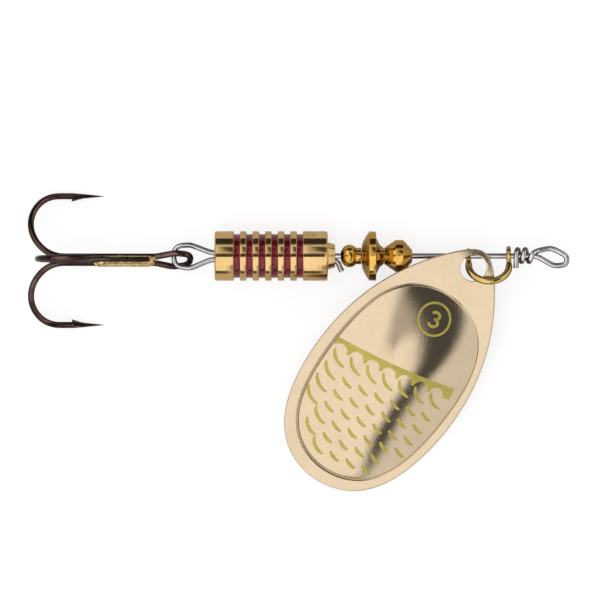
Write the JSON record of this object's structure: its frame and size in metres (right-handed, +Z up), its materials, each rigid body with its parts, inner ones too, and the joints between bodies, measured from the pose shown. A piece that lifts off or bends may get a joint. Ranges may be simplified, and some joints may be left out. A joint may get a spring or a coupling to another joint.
{
  "type": "inline spinner",
  "caption": "Wire-shaft spinner: a clevis swings a pressed egg-shaped blade ahead of turned brass beads, a grooved brass weight and a barbed treble hook.",
  "frame": {"origin": "centre of the line eye, on the axis of the shaft", "axes": "+X from the shaft out through the line eye towards the line; +Z up from the surface that the lure lies on; +Y across, away from the blade's tail"},
  "size_m": [0.0596, 0.033, 0.0135],
  "materials": {
    "steel_wire": "drawn bright stainless wire, slightly stained at the bends",
    "clevis_brass": "polished folded brass wire with flattened eyes",
    "blade_plate": "pale gold plate, polished, with fine drawing marks and an olive printed pattern",
    "bead_brass": "turned and polished brass",
    "weight_brass": "turned brass with fine tool lines and lacquer",
    "red_enamel": "dark red gloss enamel",
    "bronzed_steel": "dark bronzed hook wire, semi-gloss",
    "braze_brass": "flowed brazing brass, unpolished"
  },
  "bodies": {
    "shaft": {"shaft_wire": "steel_wire"},
    "clevis": {"clevis": "clevis_brass"},
    "blade": {"blade": "blade_plate"},
    "bell": {"bell_bead": "bead_brass"},
    "disc": {"disc_bead": "bead_brass"},
    "ball": {"ball_bead": "bead_brass"},
    "weight": {"grooved_weight": "weight_brass", "groove_enamel": "red_enamel"},
    "hook": {"double_hook": "bronzed_steel", "single_hook": "bronzed_steel", "braze": "braze_brass"}
  },
  "joints": [
    {"name": "clevis_spin", "type": "hinge", "parent": "shaft", "child": "clevis", "pos_m": [-0.00709, 0, 0], "axis": [1, 0, 0], "continuous": true},
    {"name": "blade_swing", "type": "hinge", "parent": "clevis", "child": "blade", "pos_m": [-0.00709, -0.00109, 0.00095], "axis": [0, 0.6561, 0.7547], "range_deg": [0, 60]},
    {"name": "bell_spin", "type": "hinge", "parent": "shaft", "child": "bell", "pos_m": [-0.017, 0, 0], "axis": [1, 0, 0], "continuous": true},
    {"name": "disc_spin", "type": "hinge", "parent": "shaft", "child": "disc", "pos_m": [-0.0198, 0, 0], "axis": [1, 0, 0], "continuous": true},
    {"name": "ball_spin", "type": "hinge", "parent": "shaft", "child": "ball", "pos_m": [-0.0223, 0, 0], "axis": [1, 0, 0], "continuous": true},
    {"name": "weight_spin", "type": "hinge", "parent": "shaft", "child": "weight", "pos_m": [-0.0306, 0, 0], "axis": [1, 0, 0], "continuous": true},
    {"name": "hook_swing", "type": "hinge", "parent": "shaft", "child": "hook", "pos_m": [-0.0402, -0.0002, 0], "axis": [0, 0, 1], "range_deg": [-60, 60]}
  ]
}
